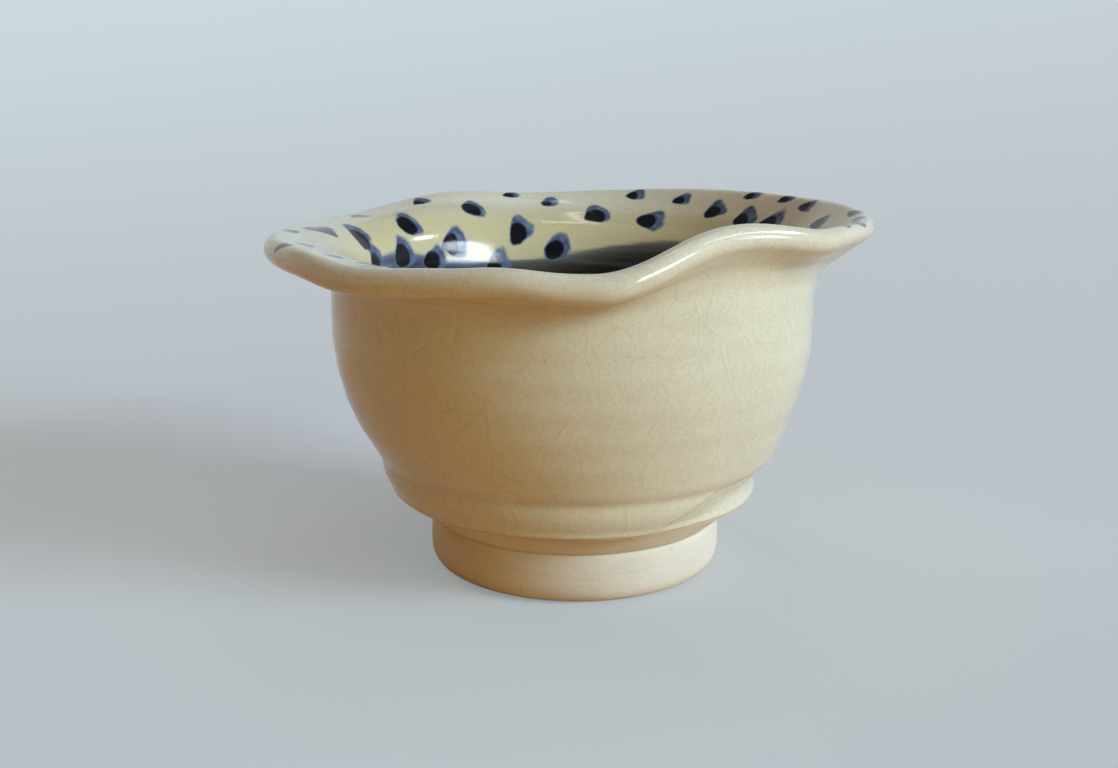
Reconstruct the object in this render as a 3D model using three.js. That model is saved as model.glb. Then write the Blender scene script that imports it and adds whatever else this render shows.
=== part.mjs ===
// A hand-thrown stoneware sake cup: a bowl with a folded, pinched lip on a turned foot ring, under a clear
// glaze, with cobalt brushwork inside. Millimetres and degrees, +Z up, standing on z = 0 with the middle of
// its outline over the origin. Angles run anticlockwise seen from above, and -90 is the front.
import * as THREE from "three";

// Foot ring, left bare
const FOOT_HEIGHT = 5.4;
const FOOT_TOP_RADIUS = 15.7;
const FOOT_BELLY_RADIUS = 16;
const FOOT_BELLY_HEIGHT = 2.3;
const FOOT_REST_OUTER_RADIUS = 14.7;
const FOOT_REST_INNER_RADIUS = 12;
const FOOT_BORE_RADIUS = 11.3;
const FOOT_BORE_TOP_RADIUS = 10.7;
const FOOT_BORE_EDGE_HEIGHT = 0.6;
const HUMP_RADIUS = 9.2; // the turner leaves the bowl's underside a little full inside the ring
const HUMP_DEPTH = 0.6;
const NECK_BULGE = 0.1; // how far the bare clay between the foot and the glaze swells past a straight line

// Bowl as it comes off the wheel, with its lip still upright
const GLAZE_EDGE_RADIUS = 19.7;
const GLAZE_EDGE_HEIGHT = 8.5;
const RIDGE_RADIUS = 21.7; // where turning the foot stopped
const RIDGE_HEIGHT = 12.9;
const RIDGE_STEP = 0.3;
const WALL_RADIUS = 24.4; // middle of the wall under the lip
const SHOULDER_HEIGHT = 27; // the wall is upright from here on
const UPRIGHT_HEIGHT = 39.8; // centre of the lip's round edge
const LIP_THICKNESS = 2.7;
const WELL_HEIGHT = 9.3;
const LEAN = -0.45; // above the ridge the bowl stands this far off its foot, along X
const LEAN_RISE = 5; // height over which it moves across

// A second, deeper cut of the turning tool under the ridge: it climbs across the front right, runs round
// the right side and fades out at the back
const CUT_DEPTH = 1.3;
const CUT_HEIGHT = 10.4; // where it is deepest
const CUT_REACH = 2.6; // above and below that
const CUT_MIDDLE_ANGLE = 0;
const CUT_FULL_ANGLE = 35; // full depth this far to each side, and gone at the end
const CUT_END_ANGLE = 72;
const CUT_CLIMB = 2.2; // how much lower it starts at its ends

// How full the curves are: where their handles lie, as shares of the run between two corners
const FOOT_LOW_HANDLE = 0.15;
const FOOT_HIGH_HANDLE = 0.8;
const HUMP_HANDLE = 0.6;
const BEVEL_HANDLE = { out: 0.96, up: 0.37 };
const BELLY_HANDLE = { out: 0.52, up: 0.26 };
const SHOULDER_HANDLE = 0.39;
const WELL_SIDE_HANDLE = 0.55;
const WELL_FLOOR_HANDLE = 0.7;

// Coatings
const GLAZE_THICKNESS = 0.4;
const GLAZE_BEAD = 0.2; // how far the glaze rolls down past its own edge
const BRUSH_THICKNESS = 0.25;
const BRUSH_CLEARANCE = 0.25;

// The lip curls out from the bend height to its full flare, then runs straight to its edge
const BEND_HEIGHT = 30.9;
const BEND_LENGTH = 5;
const FLARE = 77;

// Where fingers pushed the soft lip up or down, raised or lowered its bend, softened it into a longer one or
// drew the lip out thin, over a reach to each side
const PINCH = { angle: -59, reach: 28, flare: -25, rise: 1.6 }; // at the front right
const FOLDS = [
  PINCH,
  { angle: -23, reach: 63, flare: -12, rise: 2.2 }, // high lip beside the pinch
  { angle: 40, reach: 105, flare: -31, rise: -3.8 }, // half open back
  { angle: 154, reach: 51, flare: 15, rise: -0.4, soften: 1.9 }, // drooping left lobe, in a wider bend
  { angle: -101, reach: 12, flare: -6.5, rise: -0.4 }, // front ripple
  { angle: -129, reach: 19, flare: 4, rise: -0.2 }, // front left, a little lower
  { angle: 123, reach: 27, flare: -9.5, rise: 0.3 }, // back ripple
  { angle: -9, reach: 27, flare: 5, rise: -0.5 }, // right tip, lower
  { angle: -11, reach: 44, thin: 0.25 }, // and drawn out thin, by this share at its edge
];

// Blue-black ring brushed round the inside of the neck
const BAND_TOP_HEIGHT = 30.4;
const BAND_WIDTH = 8.5;

// Cobalt dabs: angle, and depth down the inside of the lip from the middle of its edge
const DAB_WIDTH = 3;
const DAB_LENGTH = 2.7;
const DAB_TILT = 25;
const DABS_BACK = [
  [130, 1.2], [118, 3.9], [105, 0.4], [96, 2], [75, 0.6], [63, 1.3], [45, -0.2], [35, -0.2], [26, 0.6],
  [128, 7.8], [106, 7.1], [84, 4.6], [69, 5.2], [53, 2.8], [43, 3.5], [34, 3.7], [14, 2.5],
];
const DABS_LEFT = [[181, 1], [174, 3.4], [150, 2.2], [163, 5.6], [141, 5.3], [162, 8.1]];
const DABS_RIGHT = [
  [3, -0.6], [-4, -0.3], [-17, -1.2], [-25, -0.6], [-11, 2.9], [-38, 2.9], [24, 7], [4, 6.6],
  [-16, 7.4], [-54, 5.4],
];
const DABS_FRONT = [
  [-153, -0.7], [-158, 2.2], [-141, 2], [-133, 4.6], [-128, 1.9], [-120, 4.4], [-109, 1.9], [-96, 4.2],
  [-84, 1.9], [-72, 3.9], [-154, 7], [-114, 7.8], [-84, 7.2],
];
const DABS_OVER_RING = [[148, 8.2], [136, 9.2], [114, 10.2], [95, 9.1]];

// Facets
const COLUMNS = 48;
const CROWDING = 0.25; // how strongly the columns gather round the pinch
const NECK_STEPS = 2;
const BEVEL_STEPS = 4;
const BELLY_STEPS = 5;
const LIP_STEPS = 6;
const EDGE_STEPS = 3;
const WELL_STEPS = 6;
const FOOT_STEPS = 3;
const HUMP_STEPS = 2;
const BAND_STEPS = 5;
const DAB_SIDES = 6;
const DAB_RINGS = 4;
const HALVINGS = 30; // to find where the well has a given height

const { degToRad, radToDeg, lerp, smoothstep, euclideanModulo } = THREE.MathUtils;
const HALF_LIP = LIP_THICKNESS / 2;

// A profile point: distance from the wheel's axis, and height.
const at = (radius, height) => new THREE.Vector2(radius, height);

const bezier = (steps, ...points) =>
  (points.length === 3 ? new THREE.QuadraticBezierCurve(...points) : new THREE.CubicBezierCurve(...points))
    .getPoints(steps);

// The glazed surface as one profile: up the outside, over the lip's round edge, and down into the well.
function glazedProfile() {
  const outside = WALL_RADIUS + HALF_LIP;
  const inside = WALL_RADIUS - HALF_LIP;
  const ridge = at(RIDGE_RADIUS, RIDGE_HEIGHT);
  const underRidge = at(RIDGE_RADIUS - RIDGE_STEP, RIDGE_HEIGHT - RIDGE_STEP);
  const points = bezier(
    BEVEL_STEPS,
    at(GLAZE_EDGE_RADIUS, GLAZE_EDGE_HEIGHT),
    at(
      lerp(GLAZE_EDGE_RADIUS, underRidge.x, BEVEL_HANDLE.out),
      lerp(GLAZE_EDGE_HEIGHT, underRidge.y, BEVEL_HANDLE.up),
    ),
    underRidge,
  );
  points.push(
    ...bezier(
      BELLY_STEPS,
      ridge,
      at(lerp(ridge.x, outside, BELLY_HANDLE.out), lerp(ridge.y, SHOULDER_HEIGHT, BELLY_HANDLE.up)),
      at(outside, lerp(SHOULDER_HEIGHT, ridge.y, SHOULDER_HANDLE)),
      at(outside, SHOULDER_HEIGHT),
    ),
  );
  for (let i = 1; i < LIP_STEPS; i++) {
    points.push(at(outside, lerp(SHOULDER_HEIGHT, UPRIGHT_HEIGHT, i / LIP_STEPS)));
  }
  for (let i = 0; i <= 2 * EDGE_STEPS; i++) {
    const turn = (i / (2 * EDGE_STEPS)) * Math.PI;
    const edge = at(HALF_LIP * Math.cos(turn), HALF_LIP * Math.sin(turn));
    points.push(edge.add(at(WALL_RADIUS, UPRIGHT_HEIGHT)));
  }
  for (let i = LIP_STEPS - 1; i > 0; i--) {
    points.push(at(inside, lerp(SHOULDER_HEIGHT, UPRIGHT_HEIGHT, i / LIP_STEPS)));
  }
  points.push(...wellCurve().getPoints(WELL_STEPS));
  return points;
}

// The inside below the shoulder, down to the middle of the well.
function wellCurve() {
  const inside = WALL_RADIUS - HALF_LIP;
  return new THREE.CubicBezierCurve(
    at(inside, SHOULDER_HEIGHT),
    at(inside, lerp(SHOULDER_HEIGHT, WELL_HEIGHT, WELL_SIDE_HANDLE)),
    at(inside * WELL_FLOOR_HANDLE, WELL_HEIGHT),
    at(0, WELL_HEIGHT),
  );
}

// The points of a profile moved sideways, to its left seen along it.
function offset(points, distance) {
  return points.map((point, i) => {
    const ahead = points[Math.min(i + 1, points.length - 1)];
    const behind = points[Math.max(i - 1, 0)];
    const along = ahead.clone().sub(behind).normalize();
    return at(point.x - along.y * distance, point.y + along.x * distance);
  });
}

// The clay under the glaze, point for point.
function clayProfile(glazed) {
  const points = offset(glazed, GLAZE_THICKNESS);
  points.at(-1).x = 0;
  return points;
}

// Sum of what the folds do to the lip at an angle: each fades out smoothly over its reach.
function folded(angle, quantity) {
  return FOLDS.reduce((sum, fold) => {
    const away = Math.abs(euclideanModulo(radToDeg(angle) - fold.angle + 180, 360) - 180);
    const strength = (1 + Math.cos(Math.PI * Math.min(away / fold.reach, 1))) / 2;
    return sum + strength * (fold[quantity] ?? 0);
  }, 0);
}

// How deep the second cut of the turning tool is at a point of the bevel.
function cutDepth(height, angle) {
  const away = Math.abs(euclideanModulo(radToDeg(angle) - CUT_MIDDLE_ANGLE + 180, 360) - 180);
  const fade = smoothstep(away, CUT_FULL_ANGLE, CUT_END_ANGLE);
  const above = height - (CUT_HEIGHT - CUT_CLIMB * fade);
  return CUT_DEPTH * (1 - fade) * (1 - smoothstep(Math.abs(above), 0, CUT_REACH));
}

// Where a point of the thrown pot ends up once it is turned, its lip is folded and its bowl leans. The tool
// reaches only the outside, which is wider than the foot where it cuts.
function shaped(radius, height, angle) {
  const bendLength = BEND_LENGTH + folded(angle, "soften");
  const bend = BEND_HEIGHT + folded(angle, "rise");
  const flare = degToRad(FLARE + folded(angle, "flare"));
  const bendRadius = bendLength / flare;
  const run = Math.max(height - bend, 0);
  const curled = Math.min(run, bendLength);
  const tilt = curled / bendRadius;
  const out = bendRadius * (1 - Math.cos(tilt)) + (run - curled) * Math.sin(tilt);
  const up = bendRadius * Math.sin(tilt) + (run - curled) * Math.cos(tilt);
  const thinned = 1 - folded(angle, "thin") * smoothstep(height, bend, UPRIGHT_HEIGHT);
  const beside = (radius - WALL_RADIUS) * thinned;
  const cut = radius > FOOT_BELLY_RADIUS ? cutDepth(height, angle) : 0;
  const r = WALL_RADIUS + out + beside * Math.cos(tilt) - cut;
  const z = Math.min(height, bend) + up - beside * Math.sin(tilt);
  const lean = LEAN * smoothstep(height, RIDGE_HEIGHT, RIDGE_HEIGHT + LEAN_RISE);
  return new THREE.Vector3(r * Math.cos(angle) + lean, r * Math.sin(angle), z);
}

// Splits each facet between two profile points along the same diagonal, whichever way the profile runs, so
// that two coats meet face to face on the folded lip too.
function splitAlike(geometry, profile) {
  const index = [];
  for (let column = 0; column < COLUMNS; column++) {
    for (let row = 0; row < profile.length - 1; row++) {
      const a = column * profile.length + row;
      const b = a + profile.length;
      const rising = profile[row + 1].y > profile[row].y;
      index.push(...(rising ? [a, b, a + 1, b + 1, a + 1, b] : [a, b, b + 1, a, b + 1, a + 1]));
    }
  }
  geometry.setIndex(index);
}

// Turns a profile round the wheel's axis, then folds and leans what came off the wheel.
function thrown(profile) {
  const geometry = new THREE.LatheGeometry(profile, COLUMNS);
  splitAlike(geometry, profile);
  geometry.rotateX(Math.PI / 2);
  const position = geometry.attributes.position;
  const pinch = degToRad(PINCH.angle);
  for (let i = 0; i < position.count; i++) {
    const turn = Math.atan2(position.getY(i), position.getX(i));
    const angle = turn - CROWDING * Math.sin(turn - pinch);
    const radius = Math.hypot(position.getX(i), position.getY(i));
    const point = shaped(radius, position.getZ(i), angle);
    position.setXYZ(i, point.x, point.y, point.z);
  }
  geometry.computeVertexNormals();
  return geometry;
}

function footRing() {
  const rest = at(FOOT_REST_OUTER_RADIUS, 0);
  const belly = at(FOOT_BELLY_RADIUS, FOOT_BELLY_HEIGHT);
  const top = at(FOOT_TOP_RADIUS, FOOT_HEIGHT);
  return thrown([
    at(FOOT_REST_INNER_RADIUS, 0),
    ...bezier(FOOT_STEPS, rest, at(FOOT_BELLY_RADIUS, FOOT_BELLY_HEIGHT * FOOT_LOW_HANDLE), belly),
    ...bezier(FOOT_STEPS, belly, at(FOOT_BELLY_RADIUS, FOOT_HEIGHT * FOOT_HIGH_HANDLE), top).slice(1),
    at(FOOT_BORE_TOP_RADIUS, FOOT_HEIGHT),
    at(FOOT_BORE_RADIUS, FOOT_BORE_EDGE_HEIGHT),
    at(FOOT_REST_INNER_RADIUS, 0),
  ]);
}

function clayBody(clay) {
  const foot = at(FOOT_TOP_RADIUS, FOOT_HEIGHT);
  const hump = bezier(
    HUMP_STEPS,
    at(0, FOOT_HEIGHT - HUMP_DEPTH),
    at(HUMP_RADIUS * HUMP_HANDLE, FOOT_HEIGHT - HUMP_DEPTH),
    at(HUMP_RADIUS, FOOT_HEIGHT),
  );
  const neck = bezier(
    NECK_STEPS,
    foot,
    at((foot.x + clay[0].x) / 2 + NECK_BULGE, (foot.y + clay[0].y) / 2),
    clay[0],
  );
  return thrown([...hump, ...neck, ...clay.slice(1)]);
}

function outerGlaze(glazed, clay) {
  const bead = at((glazed[0].x + clay[0].x) / 2, (glazed[0].y + clay[0].y) / 2 - GLAZE_BEAD);
  return thrown([...glazed, ...clay.toReversed(), bead, glazed[0]]);
}

function innerGlaze(glazed, clay) {
  return thrown([...clay.toReversed(), ...glazed]);
}

// Radius of the glazed inside at a height below the lip.
function insideRadius(height) {
  if (height >= SHOULDER_HEIGHT) return WALL_RADIUS - HALF_LIP;
  const curve = wellCurve();
  let above = 0;
  let below = 1;
  for (let i = 0; i < HALVINGS; i++) {
    const middle = (above + below) / 2;
    if (curve.getPoint(middle).y > height) above = middle;
    else below = middle;
  }
  return curve.getPoint(above).x;
}

function wellBand() {
  const back = [];
  for (let i = 0; i <= BAND_STEPS; i++) {
    const height = BAND_TOP_HEIGHT - (i / BAND_STEPS) * BAND_WIDTH;
    back.push(at(insideRadius(height) - BRUSH_CLEARANCE, height));
  }
  const face = back.map((point) => at(point.x - BRUSH_THICKNESS, point.y));
  return thrown([...face, ...back.toReversed(), face[0]]);
}

// A point that far off the glaze on the inside of the lip. Above the inside wall it goes on round the edge.
function onLip(height, lift) {
  const around = Math.max(height - UPRIGHT_HEIGHT, 0) / HALF_LIP;
  const reach = HALF_LIP + lift;
  const level = Math.min(height, UPRIGHT_HEIGHT);
  return at(WALL_RADIUS - reach * Math.cos(around), level + reach * Math.sin(around));
}

// One brush dab: a low dome with a flat back, wrapped onto the inside of the lip, this far off the glaze.
function dab(angle, depth, clearance) {
  const height = UPRIGHT_HEIGHT - depth;
  const middle = shaped(WALL_RADIUS - HALF_LIP, height, angle);
  const distance = Math.hypot(middle.x - LEAN, middle.y);
  const geometry = new THREE.SphereGeometry(1, DAB_SIDES, DAB_RINGS);
  geometry.scale(DAB_WIDTH / 2, BRUSH_THICKNESS, DAB_LENGTH / 2);
  geometry.rotateY(degToRad(DAB_TILT));
  const position = geometry.attributes.position;
  for (let i = 0; i < position.count; i++) {
    const thickness = Math.max(position.getY(i), 0);
    const spot = onLip(height + position.getZ(i), clearance + thickness);
    const point = shaped(spot.x, spot.y, angle + position.getX(i) / distance);
    position.setXYZ(i, point.x, point.y, point.z);
  }
  geometry.computeVertexNormals();
  return geometry;
}

const bareClay = { color: 0xc9bd95, roughness: 0.9, metalness: 0 };
const clearGlaze = { color: 0xcfcca6, roughness: 0.15, metalness: 0 };
const cobaltWash = { color: 0x2a2f3a, roughness: 0.2, metalness: 0 };
const cobalt = { color: 0x1d2233, roughness: 0.2, metalness: 0 };

const cup = new THREE.Group();

function add(name, geometry, finish) {
  const mesh = new THREE.Mesh(geometry, new THREE.MeshStandardMaterial(finish));
  mesh.name = name;
  cup.add(mesh);
}

const glazed = glazedProfile();
const clay = clayProfile(glazed);
const crest = glazed.reduce((highest, point, i) => (point.y > glazed[highest].y ? i : highest), 0);

add("foot_ring", footRing(), bareClay);
add("clay_body", clayBody(clay), bareClay);
add("outer_glaze", outerGlaze(glazed.slice(0, crest + 1), clay.slice(0, crest + 1)), clearGlaze);
add("inner_glaze", innerGlaze(glazed.slice(crest), clay.slice(crest)), clearGlaze);
add("well_band", wellBand(), cobaltWash);

const onGlaze = [...DABS_BACK, ...DABS_LEFT, ...DABS_RIGHT, ...DABS_FRONT];
const dabs = [
  ...onGlaze.map(([angle, depth]) => dab(degToRad(angle), depth, BRUSH_CLEARANCE)),
  ...DABS_OVER_RING.map(([angle, depth]) =>
    dab(degToRad(angle), depth, 2 * BRUSH_CLEARANCE + BRUSH_THICKNESS),
  ),
];
dabs.forEach((geometry, i) => add("cobalt_dab_" + String(i + 1).padStart(2, "0"), geometry, cobalt));

// The origin is under the middle of the outline, which the uneven lip sets off the wheel's axis.
const middle = new THREE.Box3().setFromObject(cup).getCenter(new THREE.Vector3());
cup.position.set(-middle.x, -middle.y, 0);

export default cup;
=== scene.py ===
# Looks for a hand-thrown sake cup: fine clay and glaze surfaces, crackle, iron specks and cobalt brushwork,
# on a pale floor under soft light. Shapes are worked out in millimetres and degrees and made in metres.
import math

import bpy
import numpy as np
from mathutils import Matrix, Vector


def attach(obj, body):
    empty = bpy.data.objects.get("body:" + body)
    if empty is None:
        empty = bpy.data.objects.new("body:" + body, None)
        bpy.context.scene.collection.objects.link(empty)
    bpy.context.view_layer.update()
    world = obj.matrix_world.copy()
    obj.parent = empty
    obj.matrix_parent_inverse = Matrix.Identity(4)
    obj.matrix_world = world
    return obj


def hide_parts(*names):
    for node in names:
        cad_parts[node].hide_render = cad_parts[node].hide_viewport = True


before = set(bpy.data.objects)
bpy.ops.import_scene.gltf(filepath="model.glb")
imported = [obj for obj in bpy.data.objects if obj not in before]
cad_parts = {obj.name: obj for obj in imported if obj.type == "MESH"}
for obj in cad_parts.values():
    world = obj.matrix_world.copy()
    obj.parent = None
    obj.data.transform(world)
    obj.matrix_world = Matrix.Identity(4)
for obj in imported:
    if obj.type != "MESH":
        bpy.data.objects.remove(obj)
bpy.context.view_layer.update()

MM = 0.001

# The cup's sizes, as in the CAD model
AXIS = (0.723, -0.443)  # where the wheel's axis stands
FOOT_HEIGHT, FOOT_TOP_RADIUS = 5.4, 15.7
FOOT_BELLY_RADIUS, FOOT_BELLY_HEIGHT = 16.0, 2.3
FOOT_REST_OUTER, FOOT_REST_INNER = 14.7, 12.0
FOOT_BORE_RADIUS, FOOT_BORE_TOP_RADIUS, FOOT_BORE_EDGE = 11.3, 10.7, 0.6
HUMP_RADIUS, HUMP_DEPTH = 9.2, 0.6
NECK_BULGE = 0.1
GLAZE_EDGE_RADIUS, GLAZE_EDGE_HEIGHT = 19.7, 8.5
RIDGE_RADIUS, RIDGE_HEIGHT, RIDGE_STEP = 21.7, 12.9, 0.3
WALL_RADIUS, SHOULDER_HEIGHT, UPRIGHT_HEIGHT = 24.4, 27.0, 39.8
HALF_LIP = 1.35
WELL_HEIGHT = 9.3
LEAN, LEAN_RISE = -0.45, 5.0
CUT_DEPTH, CUT_HEIGHT, CUT_REACH, CUT_CLIMB = 1.3, 10.4, 2.6, 2.2
CUT_FULL_ANGLE, CUT_END_ANGLE = 35, 72
CRISP_CUT_DEPTH, CRISP_CUT_START = 0.24, 8.9
CRISP_CUT_RUN = ((-80, -62), (25, 70))  # the angles between which the cut is crisp, with its soft ends
GLAZE_THICKNESS = 0.4
BEVEL_SWELL_OUT, BEVEL_SWELL_UP = 0.96, 0.37  # how full the bevel, the belly and the well are, as shares
BELLY_SWELL_OUT, BELLY_SWELL_UP, BELLY_TOP = 0.52, 0.26, 0.39
WELL_TURN, WELL_FLAT = 0.55, 0.7
BEND_HEIGHT, BEND_LENGTH, FLARE = 30.9, 5.0, 77.0
FOLDS = [
    dict(angle=-59, reach=28, flare=-25, rise=1.6),
    dict(angle=-23, reach=63, flare=-12, rise=2.2),
    dict(angle=40, reach=105, flare=-31, rise=-3.8),
    dict(angle=154, reach=51, flare=15, rise=-0.4, soften=1.9),
    dict(angle=-101, reach=12, flare=-6.5, rise=-0.4),
    dict(angle=-129, reach=19, flare=4, rise=-0.2),
    dict(angle=123, reach=27, flare=-9.5, rise=0.3),
    dict(angle=-9, reach=27, flare=5, rise=-0.5),
    dict(angle=-11, reach=44, thin=0.25),
]
BAND_TOP, BAND_WIDTH = 30.4, 8.5
BAND_RISES = [(1.6, 152, 20), (1.4, 58, 18), (-0.3, 102, 14)]  # each one's height, angle and reach
DAB_HALF_WIDTH, DAB_HALF_LENGTH, DAB_TILT = 1.5, 1.35, 25
DABS = [  # the angle round the rim and the depth below its edge
    (130, 1.2), (118, 3.9), (105, 0.4), (96, 2), (75, 0.6), (63, 1.3), (45, -0.2), (35, -0.2), (26, 0.6),
    (128, 7.8), (106, 7.1), (84, 4.6), (69, 5.2), (53, 2.8), (43, 3.5), (34, 3.7), (14, 2.5),
    (181, 1), (174, 3.4), (150, 2.2), (163, 5.6), (141, 5.3), (162, 8.1),
    (3, -0.6), (-4, -0.3), (-17, -1.2), (-25, -0.6), (-11, 2.9), (-38, 2.9), (24, 7), (4, 6.6),
    (-16, 7.4), (-54, 5.4),
    (-153, -0.7), (-158, 2.2), (-141, 2), (-133, 4.6), (-128, 1.9), (-120, 4.4), (-109, 1.9), (-96, 4.2),
    (-84, 1.9), (-72, 3.9), (-154, 7), (-114, 7.8), (-84, 7.2),
    (148, 8.2), (136, 9.2), (114, 10.2), (95, 9.1),
]

# Small forms that only the finished cup shows
RIDGE_SOFTNESS = 0.9
ROLL_THICKNESS, ROLL_ABOVE_EDGE, ROLL_REACH = 0.2, 0.4, 0.36
DRAWN_IN = 0.4  # how far the inside wall comes in below the curl of the lip
DRAWN_IN_TOP, DRAWN_IN_FULL, DRAWN_IN_FADE, DRAWN_IN_END = 31.9, 28.7, 26, 19
NECK_PAINTED_LIGHT_HEIGHT, NECK_PAINTED_LIGHT_REACH = 6.4, 1.1  # where painted light lifts the shade on the bare neck under the bevel
WORN_RIDGE_RUN = ((-52, -38), (20, 60))  # the angles between which the glaze is worn off an edge
WORN_CUT_RUN = ((-72, -62), (-34, -26))
FAR, FAR_FROM_RING = 4.0, 5.0  # distances from a dab or an edge, and from the ring, that are kept no larger

COLUMNS = 480
ANGLES = np.linspace(-math.pi, math.pi, COLUMNS, endpoint=False)
DEGREES = np.degrees(ANGLES)


# Curves

def bezier(steps, *points):
    """Points along a curve from the first point to the last, drawn towards those between them."""
    points = [np.array(point, float) for point in points]
    share = np.linspace(0, 1, steps + 1)[:, None]
    while len(points) > 1:
        points = [start * (1 - share) + end * share for start, end in zip(points, points[1:])]
    return points[0]


def mixed(start, end, share):
    """The value that lies a share of the way from start to end."""
    return start + (end - start) * share


def smoothstep(value, low, high):
    """A smooth rise from nought at low to one at high, where low may be the larger."""
    share = np.clip((value - low) / (high - low), 0, 1)
    return share * share * (3 - 2 * share)


def between(value, start, end):
    """One within a range and nought outside it, with a soft start and a soft end of two values each."""
    return smoothstep(value, *start) * (1 - smoothstep(value, *end))


def bump_at(value, middle, width):
    """A round bump that is one in the middle and nearly nought at twice its width from there."""
    return np.exp(-(((value - middle) / width) ** 2))


def lip_edge(start, end):
    """A part of the half circle over the edge of the lip, from 0 outside to half a turn inside."""
    turn = np.linspace(start, end, 13)
    edge = np.stack([WALL_RADIUS + HALF_LIP * np.cos(turn), UPRIGHT_HEIGHT + HALF_LIP * np.sin(turn)], 1)
    return edge, turn


def outer_profile():
    """From the glaze's lower edge up the outside to the crest of the lip."""
    outside = WALL_RADIUS + HALF_LIP
    under = (RIDGE_RADIUS - RIDGE_STEP, RIDGE_HEIGHT - RIDGE_STEP)
    bevel = bezier(
        44,
        (GLAZE_EDGE_RADIUS, GLAZE_EDGE_HEIGHT),
        (
            mixed(GLAZE_EDGE_RADIUS, under[0], BEVEL_SWELL_OUT),
            mixed(GLAZE_EDGE_HEIGHT, under[1], BEVEL_SWELL_UP),
        ),
        under,
    )
    belly = bezier(
        30,
        (RIDGE_RADIUS, RIDGE_HEIGHT),
        (
            mixed(RIDGE_RADIUS, outside, BELLY_SWELL_OUT),
            mixed(RIDGE_HEIGHT, SHOULDER_HEIGHT, BELLY_SWELL_UP),
        ),
        (outside, mixed(SHOULDER_HEIGHT, RIDGE_HEIGHT, BELLY_TOP)),
        (outside, SHOULDER_HEIGHT),
    )
    upright = bezier(30, (outside, SHOULDER_HEIGHT), (outside, UPRIGHT_HEIGHT))
    edge, _ = lip_edge(0, math.pi / 2)
    step = bezier(4, under, (RIDGE_RADIUS, RIDGE_HEIGHT))
    points = np.concatenate([bevel, step[1:-1], belly, upright[1:], edge[1:]])
    points = softened(points, RIDGE_HEIGHT, RIDGE_SOFTNESS)
    roll = ROLL_THICKNESS * bump_at(points[:, 1], GLAZE_EDGE_HEIGHT + ROLL_ABOVE_EDGE, ROLL_REACH)
    return points + roll[:, None] * np.array([1.0, -0.5])


def softened(points, middle, reach):
    """The profile with its radius averaged over a reach either way, round one height."""
    steps = np.linspace(-reach, reach, 25)
    weights = bump_at(steps, 0, reach / 2)
    spread = [np.interp(points[:, 1] + step, points[:, 1], points[:, 0]) for step in steps]
    smooth = (weights[:, None] * spread).sum(0) / weights.sum()
    share = bump_at(points[:, 1], middle, 1.6 * reach)
    return np.stack([mixed(points[:, 0], smooth, share), points[:, 1]], 1)


def inner_profile():
    """From the crest of the lip down the inside to the middle of the well, with each point's depth below
    the inner end of the lip's rounded edge."""
    inside = WALL_RADIUS - HALF_LIP
    edge, turn = lip_edge(math.pi / 2, math.pi)
    upright = bezier(44, (inside, UPRIGHT_HEIGHT), (inside, SHOULDER_HEIGHT))
    well = bezier(
        46,
        (inside, SHOULDER_HEIGHT),
        (inside, mixed(SHOULDER_HEIGHT, WELL_HEIGHT, WELL_TURN)),
        (WELL_FLAT * inside, WELL_HEIGHT),
        (0, WELL_HEIGHT),
    )
    points = np.concatenate([edge, upright[1:], well[1:]])
    from_above = smoothstep(points[:, 1], DRAWN_IN_TOP, DRAWN_IN_FULL)
    from_below = smoothstep(points[:, 1], DRAWN_IN_END, DRAWN_IN_FADE)
    points[:, 0] -= DRAWN_IN * (from_above * from_below)
    depth = UPRIGHT_HEIGHT - points[:, 1]
    depth[: len(edge)] = -HALF_LIP * (math.pi - turn)
    return points, depth


def offset(points, distance):
    """The profile moved sideways, towards the left of the way it runs."""
    along = np.gradient(points, axis=0)
    along /= np.linalg.norm(along, axis=1)[:, None]
    return points + distance * np.stack([-along[:, 1], along[:, 0]], 1)


# The folded pot

def folded(angle, quantity):
    """How much all folds together add to a quantity, such as the flare, at each angle."""
    total = np.zeros_like(angle)
    for fold in FOLDS:
        away = np.abs((np.degrees(angle) - fold["angle"] + 180) % 360 - 180)
        total += fold.get(quantity, 0) * (1 + np.cos(math.pi * np.minimum(away / fold["reach"], 1))) / 2
    return total


def by_hand(radius, height, angle):
    """How far a thrown wall strays from a true circle, fading out at the foot and on the axis."""
    wall = smoothstep(height, GLAZE_EDGE_HEIGHT, RIDGE_HEIGHT + 3) * smoothstep(radius, 4, 14)
    stray = 0.07 * np.sin(2 * angle + 0.7 + 0.05 * height) + 0.05 * np.sin(3 * angle + 2.1 - 0.09 * height)
    broad_rings = 0.022 * np.sin(height * 2.05 + 0.8 * np.sin(angle))
    fine_rings = 0.004 * np.sin(height * 4.7 - 1.3 * np.cos(angle))
    ripple = 0.02 * np.sin(7 * angle + 0.4 * height) + 0.012 * np.sin(13 * angle - 0.55 * height)
    return wall * (stray + (broad_rings + fine_rings) + ripple)


def above_cut(height, angle):
    """How far a point of the bevel lies above the crisp upper edge of the tool's second cut."""
    return height - mixed(CRISP_CUT_START, RIDGE_HEIGHT - 0.1, smoothstep(np.degrees(angle), -72, -42))


def second_cut(height, angle):
    """How deep the tool's second cut is: it climbs across the front right and fades out at the back."""
    fade = smoothstep(np.abs(np.degrees(angle)), CUT_FULL_ANGLE, CUT_END_ANGLE)
    above = height - (CUT_HEIGHT - CUT_CLIMB * fade)
    broad = CUT_DEPTH * (1 - fade) * (1 - smoothstep(np.abs(above), 0, CUT_REACH))
    run = between(np.degrees(angle), *CRISP_CUT_RUN)
    below = above_cut(height, angle)
    crisp = CRISP_CUT_DEPTH * run * (1 - smoothstep(below, -0.25, 0)) * smoothstep(below, -3.2, -0.5)
    return broad + crisp


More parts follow.
